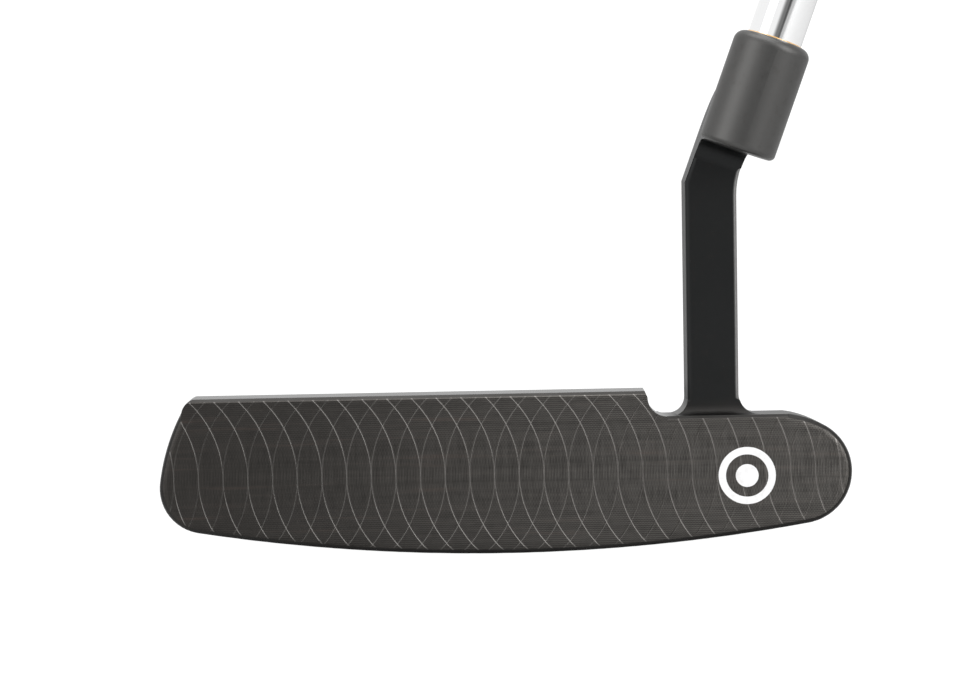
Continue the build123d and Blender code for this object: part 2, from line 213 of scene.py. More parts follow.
def meshOf(name, bm, finish, body, replaced=(), smoothBelow=24.0, flats=()):
    alongFlat = 0.99995  # cosine between a flat face and its direction
    bm.normal_update()
    for face in bm.faces:
        face.smooth = all(face.normal.dot(flat) < alongFlat for flat in flats)
    for edge in bm.edges:
        edge.smooth = not edge.is_manifold or abs(edge.calc_face_angle(0)) < math.radians(smoothBelow)
    piece = bareObject(name, bm)
    kept = piece.data.attributes
    if "custom_normal" in kept:  # left by the CAD mesh, and wrong for the new shape
        kept.remove(kept["custom_normal"])
    evenly = piece.modifiers.new("evenly", "WEIGHTED_NORMAL")  # keeps large flats flat
    evenly.keep_sharp = True
    bpy.context.scene.collection.objects.link(piece)
    piece.data.materials.append(finish)
    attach(piece, body)
    if replaced:
        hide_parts(*replaced)
    return piece


def cadCopy(node):  # the CAD node's shape as one closed mesh of large faces
    bm = bmesh.new()
    bm.from_mesh(frame["nodes"][node].data)
    joined, level = 0.002 * mm, math.radians(0.4)
    bmesh.ops.remove_doubles(bm, verts=bm.verts, dist=joined)
    bmesh.ops.dissolve_limit(bm, angle_limit=level, verts=bm.verts, edges=bm.edges)
    return bm


def repaint(node, finish):  # a CAD node that is kept as it is
    surface = frame["nodes"][node].data.materials
    surface.clear()
    surface.append(finish)


def closeEnds(bm):  # of a groove's cutter
    bmesh.ops.holes_fill(bm, edges=[edge for edge in bm.edges if edge.is_boundary], sides=3)
    bmesh.ops.recalc_face_normals(bm, faces=bm.faces)


def softenEdges(bm, chosen, width, segments=4, clamped=True):
    bmesh.ops.bevel(
        bm, geom=chosen, offset=width * mm, offset_type="OFFSET", segments=segments, profile=0.5,
        affect="EDGES", clamp_overlap=clamped, material=-1, loop_slide=True)


def turnProfile(points, steps, closed=True):  # points are radius and station up the shaft
    bm = bmesh.new()
    corners = [bm.verts.new((radius * mm, 0, station * mm)) for radius, station in points]
    pairs = zip(corners, corners[1:] + corners[:1] if closed else corners[1:])
    edges = [bm.edges.new(pair) for pair in pairs]
    bmesh.ops.spin(
        bm, geom=corners + edges, cent=(0, 0, 0), axis=(0, 0, 1), angle=math.tau, steps=steps,
        use_merge=True, use_duplicate=False)
    bmesh.ops.remove_doubles(bm, verts=bm.verts, dist=0.001 * mm)
    bmesh.ops.recalc_face_normals(bm, faces=bm.faces)
    return bm


def onClub(bm):  # from the shaft's own frame to the club's
    bmesh.ops.transform(bm, matrix=shaftPlace, verts=bm.verts)
    return bm


headLook = {
    "edge": 0.5,              # rounding of the milled edges
    "sharp": 38.0,            # edges that turn by more are rounded, degrees
    "cutterRadius": 18.7,
    "cutterStep": 4.305,
    "cutterHeight": 14.15,    # centre of the cutter's sweep above the ground
    "firstLine": 2.36,
    "lineDepth": 0.07,
    "lineHalf": 0.10,
    "sweep": 58.0,            # half of each arc, degrees
    "finePitch": 0.27,
    "fineDepth": 0.008,
    "shelfFall": 3.0,         # the shelf drops to the rear, square to the face
    "notch": (24.95, 28.35),
    "shelf": 23.55,
    "postTop": 68.0,
    "postEdge": 0.75,         # rounding of the post's long corners
    "barrelLow": 74.235,
    "barrelRadius": 6.67,
    "markX": 42.1,
    "markZ": 13.0,
    "markRadius": 5.0,
    "markMargin": 0.6,
    "markBehind": -8.0,
    "pocket": ((-30.0, 30.0), (-6.0, 9.0), 8.0),    # reach in x and y, and its height
    "sight": (1.2, -4.0, 9.5),                      # half width, front and height
    "boreReach": 5.6,
    "waist": (15.5, 20.0),    # heights between which the heel block starts to lean
    "leanStart": 1.5,         # behind the leading edge
    "blockTop": 40.0,
    "postFoot": 2.3,          # above the shelf
    "postFront": -9.0,
}


def headMaterial():
    look = headLook
    steel = Finish("darkSteel", Metallic=1.0)
    x, y, z = steel.x, steel.y, steel.z
    across, front, along = steel.turned()

    # where the surface is: on the struck face, on the neck, on the barrel
    facePlane = y - club["leadingY"] - z * math.tan(loft)
    onFace = abs(facePlane).fall(0.12, 0.2) * z.fall(28.5, 29.0)
    onNeck = z.rise(look["shelf"] + 0.4, look["shelf"] + 3.5) * x.rise(28.0, 28.6)
    onShelf = z.rise(20.0, 22.0) * z.fall(26.0, 30.0) * x.rise(27.0, 30.0)
    fromAxis = (across * across + front * front).root()
    onBarrel = fromAxis.fall(look["barrelRadius"] + 0.02, look["barrelRadius"] + 0.2)
    onBarrel = onBarrel * along.rise(look["barrelLow"] - 0.3, look["barrelLow"] + 0.1)

    # two families of arcs that the cutter leaves
    rise = z - look["cutterHeight"]
    bow = (look["cutterRadius"] ** 2 - rise * rise).root()
    shift = look["cutterRadius"] - bow
    slope = bow / look["cutterRadius"]
    right = x + shift - look["firstLine"]
    left = x - shift - look["firstLine"]

    def lines(family):
        nearest = (family / look["cutterStep"]).toWhole() * look["cutterStep"]
        return (nearest * slope).fall(0.05, 0.15)

    def fine(family):
        return (family * (math.tau / look["finePitch"])).sine()

    # painted highlight: the arcs that lean like a backslash are painted lighter, as groove walls that catch
    # the light, and fainter at middle height; the other family is painted fainter towards the heel
    upper = rise.rise(-0.8, 0.8)
    leaning = lines(right) * upper + lines(left) * (1 - upper)  # lean like a backslash
    other = lines(left) * upper + lines(right) * (1 - upper)
    heelFade = x.rise(5.0, 34.0)
    waistFade = 0.5 + 0.5 * abs(rise).rise(1.0, 5.0)
    lineHighlightMask = (leaning * waistFade * 0.9 + other * (0.42 - 0.40 * heelFade)) * onFace

    cloud = steel.noise(0.09, 4.0)
    stain = steel.noise(0.55, 5.0, 0.6)
    grain = steel.noise(9.0, 2.0)
    brushed = steel.noise(3.0, 3.0, 0.6, steel.join(x * 0.15, y * 2.0, z * 0.15))
    drag = steel.noise(1.0, 4.0, 0.6, steel.join(x * 0.05, y, z * 1.3))  # level drag marks
    chatter = steel.noise(1.0, 2.0, 0.5, steel.join(x * 2.6, y, z * 0.25))  # upright streaks
    waist = abs(rise).fall(3.5, 9.0)  # where both families run upright
    rows = (fine(right) + fine(left)) * 0.5

    # painted light: the face is coloured lighter from toe to heel, as if lit more from the heel side; the
    # milling marks mixed in below are its own tone
    faceToneAndPaintedLight = steel.mix(x.rise(-60.0, 62.0), (0.064, 0.060, 0.056, 1), (0.180, 0.171, 0.160, 1))
    rungs = (z * (math.tau / 0.36)).sine() * (1 - waist)
    milledShade = 1 + 0.3 * rows + 0.16 * rungs + 0.5 * (drag - 0.5)
    milledShade = milledShade + 0.5 * (chatter - 0.5) * waist + 0.3 * (stain - 0.5)
    faceToneAndPaintedLight = steel.mix((milledShade - 0.6) * 1.1, grey(0.028, 0.06), faceToneAndPaintedLight)
    faceToneAndPaintedLight = steel.mix(drag.rise(0.55, 0.8) * 0.3, faceToneAndPaintedLight, (0.105, 0.072, 0.060, 1))
    base = steel.mix(cloud.rise(0.35, 0.7), grey(0.030, 0.04), grey(0.040, 0.03))
    base = steel.mix(onFace, base, faceToneAndPaintedLight)
    # painted highlight: the colour of the lit arcs, lighter towards the heel
    paintedLineHighlight = steel.mix(x.rise(-60.0, 62.0), (0.150, 0.144, 0.138, 1), (0.265, 0.252, 0.240, 1))
    base = steel.mix(lineHighlightMask * 0.8, base, paintedLineHighlight)
    base = steel.mix(onNeck * 0.9, base, (0.024, 0.025, 0.0255, 1))
    # painted highlight: a lighter strip down the post's front corner on the heel side only, as lit from
    # that side
    corner = y.rise(-8.6, -8.5) * y.fall(-8.0, -7.7) * onNeck * x.rise(35.0, 37.0)
    base = steel.mix(corner * 0.9, base, grey(0.24, 0.01))
    base = steel.mix(onBarrel, base, (0.094, 0.093, 0.091, 1))
    base = steel.mix(stain.rise(0.5, 0.8) * 0.2, base, (0.036, 0.031, 0.027, 1))
    rubbed = grain.rise(0.7, 0.78) * stain.rise(0.55, 0.7)  # small bright nicks
    base = steel.mix(rubbed * 0.35, base, grey(0.3, 0.02))

    rough = 0.26 + 0.08 * (grain - 0.5) + 0.08 * (cloud - 0.5)
    rough = rough + 0.2 * onNeck - 0.02 * onBarrel + 0.14 * onShelf
    rough = rough + onFace * (0.18 + 0.12 * (stain - 0.5) - 0.06 * lineHighlightMask)

    milled = steel.bump(rows * onFace * (1 - lineHighlightMask), look["fineDepth"])
    satin = steel.bump(grain * 0.6 + brushed * 0.4, 0.004, 1.0, milled)
    return steel.feed(Base_Color=base, Roughness=rough, Normal=satin)


def arcCutter(side):  # thin rings that mill one family of arcs into the face
    look = headLook
    radius, deep = look["cutterRadius"], look["lineDepth"]
    half = look["lineHalf"] * 2
    bm = bmesh.new()
    section = ((radius - half, -deep), (radius + half, -deep), (radius, deep))
    corners = [bm.verts.new((out, inward, 0)) for out, inward in section]
    edges = [bm.edges.new((corners[i - 1], corners[i])) for i in range(3)]
    begin = math.radians(-look["sweep"] if side > 0 else 180 - look["sweep"])
    bmesh.ops.rotate(bm, verts=corners, matrix=Matrix.Rotation(begin, 3, (0, -1, 0)))
    bmesh.ops.spin(
        bm, geom=corners + edges, cent=(0, 0, 0), axis=(0, -1, 0), angle=math.radians(2 * look["sweep"]),
        steps=36, use_merge=False, use_duplicate=False)
    closeEnds(bm)
    oneArc = bm.verts[:] + bm.edges[:] + bm.faces[:]
    low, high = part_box("head")
    reach = radius * (1 - math.cos(math.radians(look["sweep"])))
    first = math.ceil((low.x / mm - reach - look["firstLine"]) / look["cutterStep"])
    last = math.floor((high.x / mm + reach - look["firstLine"]) / look["cutterStep"])
    for number in range(first, last + 1):
        copied = bmesh.ops.duplicate(bm, geom=oneArc)["geom"]
        verts = [item for item in copied if isinstance(item, bmesh.types.BMVert)]
        lineX = look["firstLine"] + number * look["cutterStep"]
        bmesh.ops.translate(bm, verts=verts, vec=(lineX - side * radius, 0, look["cutterHeight"]))
    bmesh.ops.delete(bm, geom=[item for item in oneArc if isinstance(item, bmesh.types.BMVert)])
    # onto the leaning face, in metres
    leanBack = Matrix.Identity(4)
    leanBack[1][2] = math.tan(loft)
    onFace = Matrix.Scale(mm, 4) @ Matrix.Translation((0, club["leadingY"], 0)) @ leanBack
    bmesh.ops.transform(bm, matrix=onFace, verts=bm.verts)
    return bareObject("faceCutter", bm)


def cutAway(bm, cutters):
    blank = bareObject("blank", bm)
    scene = bpy.context.scene.collection.objects
    scene.link(blank)
    for cutter in cutters:
        scene.link(cutter)
        cut = blank.modifiers.new("cut", "BOOLEAN")
        cut.operation = "DIFFERENCE"
        cut.solver = "MANIFOLD"
        cut.object = cutter
    bpy.context.view_layer.update()
    done = blank.evaluated_get(bpy.context.evaluated_depsgraph_get())
    result = bmesh.new()
    result.from_mesh(done.to_mesh())
    for gone in [blank] + cutters:
        data = gone.data
        bpy.data.objects.remove(gone)
        bpy.data.meshes.remove(data)
    return result


def middleOf(edge):  # in millimetres
    return (edge.verts[0].co + edge.verts[1].co) / (2 * mm)


def isMarked(edge):  # grooves and holes keep their crisp edges
    look = headLook
    middle = middleOf(edge)
    fromMark = math.hypot(middle.x - look["markX"], middle.z - look["markZ"])
    nearMark = fromMark < look["markRadius"] + look["markMargin"] and middle.y < look["markBehind"]
    (left, right), (front, back), height = look["pocket"]
    inPocket = middle.z < height and left < middle.x < right and front < middle.y < back
    half, sightFront, sightTop = look["sight"]
    nearSight = abs(middle.x) < half and middle.z < sightTop and middle.y > sightFront
    fromBase = middle - shaftBase / mm
    inBore = (fromBase - shaftUp * fromBase.dot(shaftUp)).length < look["boreReach"]
    return nearMark or inPocket or nearSight or inBore


def smoothStep(value, low, high):
    share = max(0.0, min(1.0, (value - low) / (high - low)))
    return share * share * (3 - 2 * share)


def dropShelf(bm):  # what is above the waist of the heel block leans back with the face
    look = headLook
    for vert in bm.verts:
        x, y, z = vert.co / mm
        share = smoothStep(x, *look["notch"]) * smoothStep(z, *look["waist"])
        behind = max(0.0, y - club["leadingY"] - look["leanStart"])
        fall = behind * math.tan(math.radians(look["shelfFall"]))
        vert.co.z -= fall * share * mm * (z < look["blockTop"])


def isNeck(edge):  # long front corners of the post, below the bend
    look = headLook
    middle = middleOf(edge)
    facesFront = min(face.normal.y for face in edge.link_faces) < -0.98
    onPost = look["shelf"] + look["postFoot"] < middle.z < look["postTop"]
    return facesFront and onPost and middle.y > look["postFront"]


def makeHead():
    bm = cadCopy("head")
    sharp = math.radians(headLook["sharp"])
    chosen = [
        edge for edge in bm.edges
        if edge.is_manifold and edge.calc_face_angle(0) > sharp and not isMarked(edge)]
    neck = [edge for edge in chosen if isNeck(edge)]
    chosen = [edge for edge in chosen if edge not in neck]
    softenEdges(bm, neck, headLook["postEdge"], 4, False)
    softenEdges(bm, [edge for edge in chosen if edge.is_valid], headLook["edge"])
    dropShelf(bm)
    bmesh.ops.triangulate(bm, faces=[face for face in bm.faces if len(face.verts) > 4])
    bm = cutAway(bm, [arcCutter(1), arcCutter(-1)])
    faceOut = Vector((0, -math.cos(loft), math.sin(loft)))
    flats = [faceOut, -faceOut]
    for axis in Matrix.Identity(3):
        flats += [axis, -axis]
    return meshOf("putterHead", bm, headMaterial(), "club", ["head"], flats=flats)


makeHead()
print("head done")

shaftLook = {
    "tip": 4.70,
    "butt": 7.37,
    "wall": 0.45,
    "start": 76.735,
    "stepsStart": 298.735,
    "steps": 11,
    "stepLength": 22.0,
    "ramp": 0.8,
    "ease": 0.3,          # rounding at both ends of a ramp
    "end": 859.6,
}


def chromeMaterial():
    chrome = Finish("chromePlate", Metallic=1.0)
    across, front, along = chrome.turned()
    haze = chrome.noise(0.05, 3.0)
    smear = chrome.noise(0.8, 4.0, 0.6)
    drawn = chrome.noise(1.0, 2.0, 0.5, chrome.join(across * 4.0, front * 4.0, along * 0.05))
    base = chrome.mix(haze, grey(0.86), grey(0.92, -0.004))
    rough = 0.035 + 0.05 * smear.rise(0.45, 0.8) + 0.02 * haze
    fineLines = chrome.bump(drawn, 0.0008)
    return chrome.feed(Base_Color=base, Roughness=rough, Normal=fineLines)


def makeShaft():
    look = shaftLook
    rise = (look["butt"] - look["tip"]) / look["steps"]
    outside = [(look["tip"], look["start"])]
    for step in range(look["steps"]):
        radius = look["tip"] + step * rise
        station = look["stepsStart"] + step * look["stepLength"]
        top = station + look["ramp"]
        outside += [(radius, station - look["ease"]), (radius + 0.1 * rise, station)]
        outside += [(radius + 0.9 * rise, top), (radius + rise, top + look["ease"])]
    outside.append((look["butt"], look["end"]))
    inside = [(radius - look["wall"], station) for radius, station in reversed(outside)]
    bm = turnProfile(outside + inside, 96)
    return meshOf("steppedShaft", onClub(bm), chromeMaterial(), "club", ["shaft"])


makeShaft()
print("shaft done")


def gluedMaterial():
    glue = Finish("amberGlue", IOR=1.52, Coat_Weight=0.5)
    bubbles = glue.noise(2.5, 3.0)
    base = glue.mix(bubbles.rise(0.4, 0.7), (0.62, 0.33, 0.08, 1), (0.75, 0.45, 0.14, 1))
    rough = 0.18 + 0.2 * bubbles
    return glue.feed(Base_Color=base, Roughness=rough, Normal=glue.bump(bubbles, 0.02))


def plugMaterial():
    plastic = Finish("greyPlug")
    speck = plastic.noise(4.0, 3.0)
    base = plastic.mix(speck, grey(0.05), grey(0.09))
    return plastic.feed(Base_Color=base, Roughness=0.5 + 0.2 * speck, Normal=plastic.bump(speck, 0.01))


bandLook = {
    "start": 554.735,
    "length": 30.0,
    "radius": 7.49,
    "inner": 7.37,
    "round": 0.04,
    "stripe": (4.0, 5.2),    # from each end of the band
}


def bandMaterial():
    vinyl = Finish("bandVinyl", Coat_Weight=0.6, Coat_Roughness=0.08)
    across, front, along = vinyl.turned()
    low, high = bandLook["start"], bandLook["start"] + bandLook["length"]
    near, far = bandLook["stripe"]
    soft = (-0.1, 0.1)
    stripe = (along - low - near).rise(*soft) * (along - low - far).fall(*soft)
    stripe = stripe + (along - high + far).rise(*soft) * (along - high + near).fall(*soft)
    scuff = vinyl.noise(1.2, 5.0, 0.65)
    base = vinyl.mix(stripe, grey(0.018), grey(0.62, 0.01))
    base = vinyl.mix(scuff.rise(0.6, 0.8) * 0.15, base, grey(0.2))
    return vinyl.feed(Base_Color=base, Roughness=0.22 + 0.25 * scuff, Normal=vinyl.bump(scuff, 0.004))


tapeLook = {
    "start": 599.9,
    "end": 859.6,
    "inner": 7.37,
    "radius": 7.52,
    "lap": 0.05,
    "turns": 14,        # laps of the tape show as shallow steps
    "lapShare": 0.97,
}


def tapeMaterial():
    paper = Finish("crepePaper")
    across, front, along = paper.turned()
    crepe = paper.noise(2.0, 4.0, 0.6, paper.join(across * 0.6, front * 0.6, along * 2.5))
    base = paper.mix(crepe, (0.60, 0.55, 0.42, 1), (0.74, 0.70, 0.58, 1))
    return paper.feed(Base_Color=base, Roughness=0.75 + 0.15 * crepe, Normal=paper.bump(crepe, 0.05))


def makeBand():
    look = bandLook
    low, high = look["start"], look["start"] + look["length"]
    inner, outer, edge = look["inner"], look["radius"], look["round"]
    outline = [
        (inner, low), (outer - edge, low), (outer, low + edge),
        (outer, high - edge), (outer - edge, high), (inner, high)]
    bm = onClub(turnProfile(outline, 96))
    return meshOf("shaftBand", bm, bandMaterial(), "club", ["shaft_band"], 50.0)


def makeTape():
    look = tapeLook
    lap = (look["end"] - look["start"]) / look["turns"]
    outline = [(look["inner"], look["start"])]
    for turn in range(look["turns"]):
        low = look["start"] + turn * lap
        outline += [(look["radius"] - look["lap"], low), (look["radius"], low + lap * look["lapShare"])]
    outline += [(look["radius"], look["end"]), (look["inner"], look["end"])]
    bm = turnProfile(outline, 64)
    return meshOf("gripTape", onClub(bm), tapeMaterial(), "club", ["grip_tape"])


makeBand()
makeTape()
repaint("hosel_epoxy", gluedMaterial())
repaint("shaft_tip_plug", plugMaterial())
print("glue, plug, band and tape done")


def paintMaterial(name):
    paint = Finish(name, Coat_Weight=0.3, Coat_Roughness=0.12)
    skin = paint.noise(0.9, 4.0, 0.6)
    speck = paint.noise(6.0, 2.0)
    base = paint.mix(skin.rise(0.45, 0.75), grey(0.86, -0.004), grey(0.76, 0.006))
    base = paint.mix(speck.rise(0.72, 0.8) * 0.5, base, grey(0.45, 0.02))
    return paint.feed(Base_Color=base, Roughness=0.28 + 0.15 * skin, Normal=paint.bump(skin, 0.02))


repaint("face_mark_fill", paintMaterial("markPaint"))
repaint("sight_line_fill", paintMaterial("sightPaint"))
print("paint done")

gripLook = {
    "start": 596.9,
    "end": 859.6,
    "mouthBore": 7.37,
    "bore": 7.52,
    "mouthLength": 3.0,
    "corner": 3.4,
    "around": 96,
    "rows": 176,
    "rim": 0.9,             # rounding of the mouth's edge
    "grooveDepth": 0.38,
    "grooveInset": 0.16,
    "wallLeft": 0.8,        # a groove keeps this much outside the bore
    "plainEnds": 0.05,      # share of the length with no grooves
    "dashPitch": 2.4,
    "dashFrom": 1.6,        # dashes on the flat front, either side of its middle
    "dashTo": 8.6,
    "backFrom": 9.0,        # grooves round the back, degrees from its middle
    "backTo": 76.0,
    "rimSteps": 5,
    # share of the length, width, and the flat front and round back from the shaft's centre
    "shape": (
        (0.0, 19.6, 9.2, 9.9), (0.12, 21.6, 9.5, 10.6), (0.42, 24.0, 9.9, 12.0),
        (0.70, 25.2, 10.2, 15.4), (0.90, 25.6, 10.4, 20.4), (1.0, 25.0, 10.2, 20.9)),
}
capLook = {
    "height": 4.0,
    "edge": 1.8,
    "edgeSteps": 5,
    "vent": 1.6,
    "ventLip": (0.06, 0.3),    # share of the way to the edge, and its depth
    "grooveAt": 0.62,
    "groove": ((0.05, 0), (0.02, 1), (-0.02, 1), (-0.05, 0)),    # share either side, and whether it is deep
    "dip": 0.45,
}


def gripSize(share):  # width, front and back at a share of the grip's length, on a smooth curve
    stops = gripLook["shape"]
    last = len(stops) - 2
    here = next((i for i in range(last) if share < stops[i + 1][0]), last)
    before, low, high, after = (stops[max(0, min(last + 1, here + k))] for k in (-1, 0, 1, 2))
    t = (share - low[0]) / (high[0] - low[0])
    sizes = []
    for k in (1, 2, 3):
        startSlope = (high[k] - before[k]) / (high[0] - before[0]) * (high[0] - low[0])
        endSlope = (after[k] - low[k]) / (after[0] - low[0]) * (high[0] - low[0])
        bend = (1 + 2 * t) * (1 - t) ** 2 * low[k] + t * (1 - t) ** 2 * startSlope
        sizes.append(bend + t * t * (3 - 2 * t) * high[k] + t * t * (t - 1) * endSlope)
    return sizes


def outlineReach(angle, size, shrink=0.0):  # how far the grip's outline is from the shaft's centre
    half, front, back = size[0] / 2 - shrink, size[1] - shrink, size[2] - shrink
    corner = max(0.4, gripLook["corner"] - shrink)
    u, v = abs(math.cos(angle)), math.sin(angle)
    if v <= 0:
        return 1 / math.hypot(u / half, v / back)
    side = half / max(u, 1e-9)
    if side * v <= front - corner:
        return side
    top = front / v
    if top * u <= half - corner:
        return top
    along = u * (half - corner) + v * (front - corner)
    off = (half - corner) ** 2 + (front - corner) ** 2 - corner ** 2
    return along + math.sqrt(along * along - off)


def placeRing(verts, station, reach):  # reach gives a radius for each angle
    for vert in verts:
        angle = math.atan2(vert.co.y, vert.co.x)
        out = reach(angle) * mm
        vert.co = (out * math.cos(angle), out * math.sin(angle), station * mm)


def nextRing(bm, edges):  # a new ring drawn from the last one
    drawn = bmesh.ops.extrude_edge_only(bm, edges=edges)["geom"]
    verts = [item for item in drawn if isinstance(item, bmesh.types.BMVert)]
    return verts, [item for item in drawn if isinstance(item, bmesh.types.BMEdge) and item.is_boundary]


def ringStack(rings):  # closed skin through (station, reach) rings, the last joined to the first
    bm = bmesh.new()
    verts = bmesh.ops.create_circle(bm, segments=gripLook["around"], radius=1.0)["verts"]
    firstEdges = edges = bm.edges[:]
    placeRing(verts, *rings[0])
    for ring in rings[1:]:
        verts, edges = nextRing(bm, edges)
        placeRing(verts, *ring)
    bmesh.ops.bridge_loops(bm, edges=firstEdges + edges)
    bmesh.ops.recalc_face_normals(bm, faces=bm.faces)
    return bm


def isGroove(face):  # rows of short grooves round the back and dashes on the flat front
    look = gripLook
    middle = face.calc_center_median() / mm
    if abs(face.normal.z) > 0.5 or middle.xy.length < look["bore"] + look["wallLeft"]:
        return False
    share = (middle.z - look["start"]) / (look["end"] - look["start"])
    row = int(share * look["rows"])
    if share < look["plainEnds"] or share > 1 - look["plainEnds"]:
        return False
    angle = math.degrees(math.atan2(middle.y, middle.x))
    if angle > 0:  # the flat front and its sides
        dash = int((middle.x + 40) / look["dashPitch"]) + row // 4
        return row % 4 == 1 and dash % 4 != 0 and look["dashFrom"] < abs(middle.x) < look["dashTo"]
    fromBack = abs(angle + 90)
    return row % 3 == 1 and look["backFrom"] < fromBack < look["backTo"]


def rubberMaterial(name, level):
    rubber = Finish(name, Specular_IOR_Level=0.22, Sheen_Weight=0.03, Sheen_Roughness=0.5)
    across, front, along = rubber.turned()
    moulded = rubber.noise(2.2, 4.0, 0.6)
    pores = rubber.noise(7.0, 2.0, 0.5)
    wear = rubber.noise(0.06, 3.0, 0.6)
    base = rubber.mix(moulded.rise(0.35, 0.7), grey(level), grey(level * 1.5, 0.01))
    base = rubber.mix(wear.rise(0.5, 0.75) * 0.35, base, grey(level * 2.2, 0.02))
    rough = 0.58 + 0.18 * moulded - 0.14 * wear.rise(0.5, 0.8)
    skin = rubber.bump(moulded * 0.5 + pores * 0.5, 0.035)
    return rubber.feed(Base_Color=base, Roughness=rough, Normal=skin)


def makeGrip():
    look = gripLook
    length = look["end"] - look["start"]

    def outline(share, shrink=0.0):
        return lambda angle: outlineReach(angle, gripSize(share), shrink)

    def circle(radius):
        return lambda angle: radius

    rings = []
    for step in range(look["rimSteps"]):  # rounded rim of the mouth
        turn = math.pi / 2 * step / look["rimSteps"]
        shrink = look["rim"] * (1 - math.sin(turn))
        station = look["start"] + look["rim"] * (1 - math.cos(turn))
        rings.append((station, outline(0.0, shrink)))
    for row in range(look["rows"] + 1):
        share = max(row / look["rows"], look["rim"] / length)
        rings.append((look["start"] + share * length, outline(share)))
    mouthEnd = look["start"] + look["mouthLength"]
    rings += [(look["end"], circle(look["bore"])), (mouthEnd, circle(look["bore"]))]
    rings += [(mouthEnd, circle(look["mouthBore"])), (look["start"], circle(look["mouthBore"]))]
    bm = ringStack(rings)
    grooves = [face for face in bm.faces if isGroove(face)]
    bmesh.ops.inset_region(
        bm, faces=grooves, thickness=look["grooveInset"] * mm, depth=-look["grooveDepth"] * mm,
        use_boundary=True, use_even_offset=True)
    finish = rubberMaterial("gripRubber", 0.016)
    return meshOf("pistolGrip", onClub(bm), finish, "club", ["grip"], 35.0)


def makeCap():
    look = capLook
    low, high = gripLook["end"], gripLook["end"] + look["height"]
    size = gripSize(1.0)

    def outline(shrink):
        return lambda angle: outlineReach(angle, size, shrink)

    def inward(share):  # between the vent and the rounded edge
        return lambda angle: look["vent"] + share * (outlineReach(angle, size, look["edge"]) - look["vent"])

    rings = [(low, outline(0.0)), (high - look["edge"], outline(0.0))]
    for step in range(1, look["edgeSteps"] + 1):
        turn = math.pi / 2 * step / look["edgeSteps"]
        shrink = look["edge"] * (1 - math.cos(turn))
        rings.append((high - look["edge"] * (1 - math.sin(turn)), outline(shrink)))
    for share, drop in look["groove"]:
        rings.append((high - drop * look["dip"], inward(look["grooveAt"] + share)))
    lip, deep = look["ventLip"]
    rings += [(high, inward(lip)), (high - deep, inward(0.0)), (low, inward(0.0))]
    bm = ringStack(rings)
    finish = rubberMaterial("capRubber", 0.013)
    return meshOf("gripCap", onClub(bm), finish, "club", ["grip_cap"], 35.0)


makeGrip()
makeCap()
print("grip and cap done")

soleLook = {
    "edge": 0.22,
    "screwEdge": 0.08,
    "sharp": 30.0,      # edges that turn by more are rounded, degrees
    "screwX": 20.0,
    "plateY": 1.5,
}
threadLook = {
    "radius": 1.97,
    "pitch": 0.7,
    "depth": 0.34,
    "half": 0.29,
    "low": 3.5,
    "high": 6.3,
    "steps": 22,        # round one turn
    "past": 0.05,       # the cutter starts this far outside the screw
}


def plateMaterial():
    plate = Finish("brushedPlate", Metallic=1.0)
    strokes = plate.noise(1.0, 3.0, 0.6, plate.join(plate.x * 0.08, plate.y * 6.0, plate.z * 6.0))
    cloud = plate.noise(0.12, 4.0)
    scuff = plate.noise(0.5, 6.0, 0.7)
    base = plate.mix(cloud, (0.11, 0.105, 0.10, 1), (0.17, 0.162, 0.155, 1))
    base = plate.mix(scuff.rise(0.6, 0.75) * 0.5, base, grey(0.34, 0.01))
    rough = 0.3 + 0.15 * strokes + 0.1 * scuff
    return plate.feed(Base_Color=base, Roughness=rough, Normal=plate.bump(strokes, 0.004))


def screwMaterial():
    screw = Finish("blackScrew", Metallic=1.0)
    oxide = screw.noise(1.5, 4.0, 0.6)
    rub = screw.noise(4.0, 3.0)
    base = screw.mix(oxide, grey(0.07), grey(0.12, 0.02))
    base = screw.mix(rub.rise(0.62, 0.75) * 0.4, base, grey(0.4))
    return screw.feed(Base_Color=base, Roughness=0.36 + 0.2 * oxide, Normal=screw.bump(rub, 0.004))


def threadCutter(screwX):  # one helical groove
    look = threadLook
    bm = bmesh.new()
    out, deep = look["radius"] + look["past"], look["radius"] - look["depth"]
    section = ((out, look["half"]), (out, -look["half"]), (deep, 0.0))
    corners = [bm.verts.new((radius * mm, 0, (look["low"] + up) * mm)) for radius, up in section]
    edges = [bm.edges.new((corners[i - 1], corners[i])) for i in range(3)]
    turns = (look["high"] - look["low"]) / look["pitch"]
    steps = int(turns * look["steps"])
    climb = (look["high"] - look["low"]) / steps * mm
    bmesh.ops.spin(
        bm, geom=corners + edges, cent=(0, 0, 0), axis=(0, 0, 1), dvec=(0, 0, climb),
        angle=math.tau * turns, steps=steps, use_merge=False, use_duplicate=False)
    closeEnds(bm)
    bmesh.ops.translate(bm, verts=bm.verts, vec=(screwX * mm, soleLook["plateY"] * mm, 0))
    return bareObject("threadCutter", bm)


def softCopy(node, width):
    bm = cadCopy(node)
    sharp = math.radians(soleLook["sharp"])
    chosen = [edge for edge in bm.edges if edge.is_manifold and edge.calc_face_angle(0) > sharp]
    softenEdges(bm, chosen, width, 2)
    return bm


def makeSole():
    plate = softCopy("sole_plate", soleLook["edge"])
    meshOf("solePlate", plate, plateMaterial(), "sole_plate", ["sole_plate"], 40.0)
    finish = screwMaterial()
    for side, screwX in (("toe", -soleLook["screwX"]), ("heel", soleLook["screwX"])):
        node = "sole_screw_" + side
        bm = cutAway(softCopy(node, soleLook["screwEdge"]), [threadCutter(screwX)])
        meshOf(side + "SoleScrew", bm, finish, node, [node], 35.0)


makeSole()
print("sole plate and screws done")

stageLook = {
    "half": 40.0,
    "pale": 1.15,                    # floor and surround as seen
    "shade": 0.12,                   # share of the floor's own shading that is seen
    "floor": 0.55,                   # floor as the club sees it
    "ahead": (0.16, -0.98, 0.12),    # straight ahead of the face
    # surround as the club sees it: level falls between two cosines to straight ahead
    "zones": ((0.88, 0.98, 1.0, 0.2), (0.992, 0.998, 1.0, 0.3)),
}


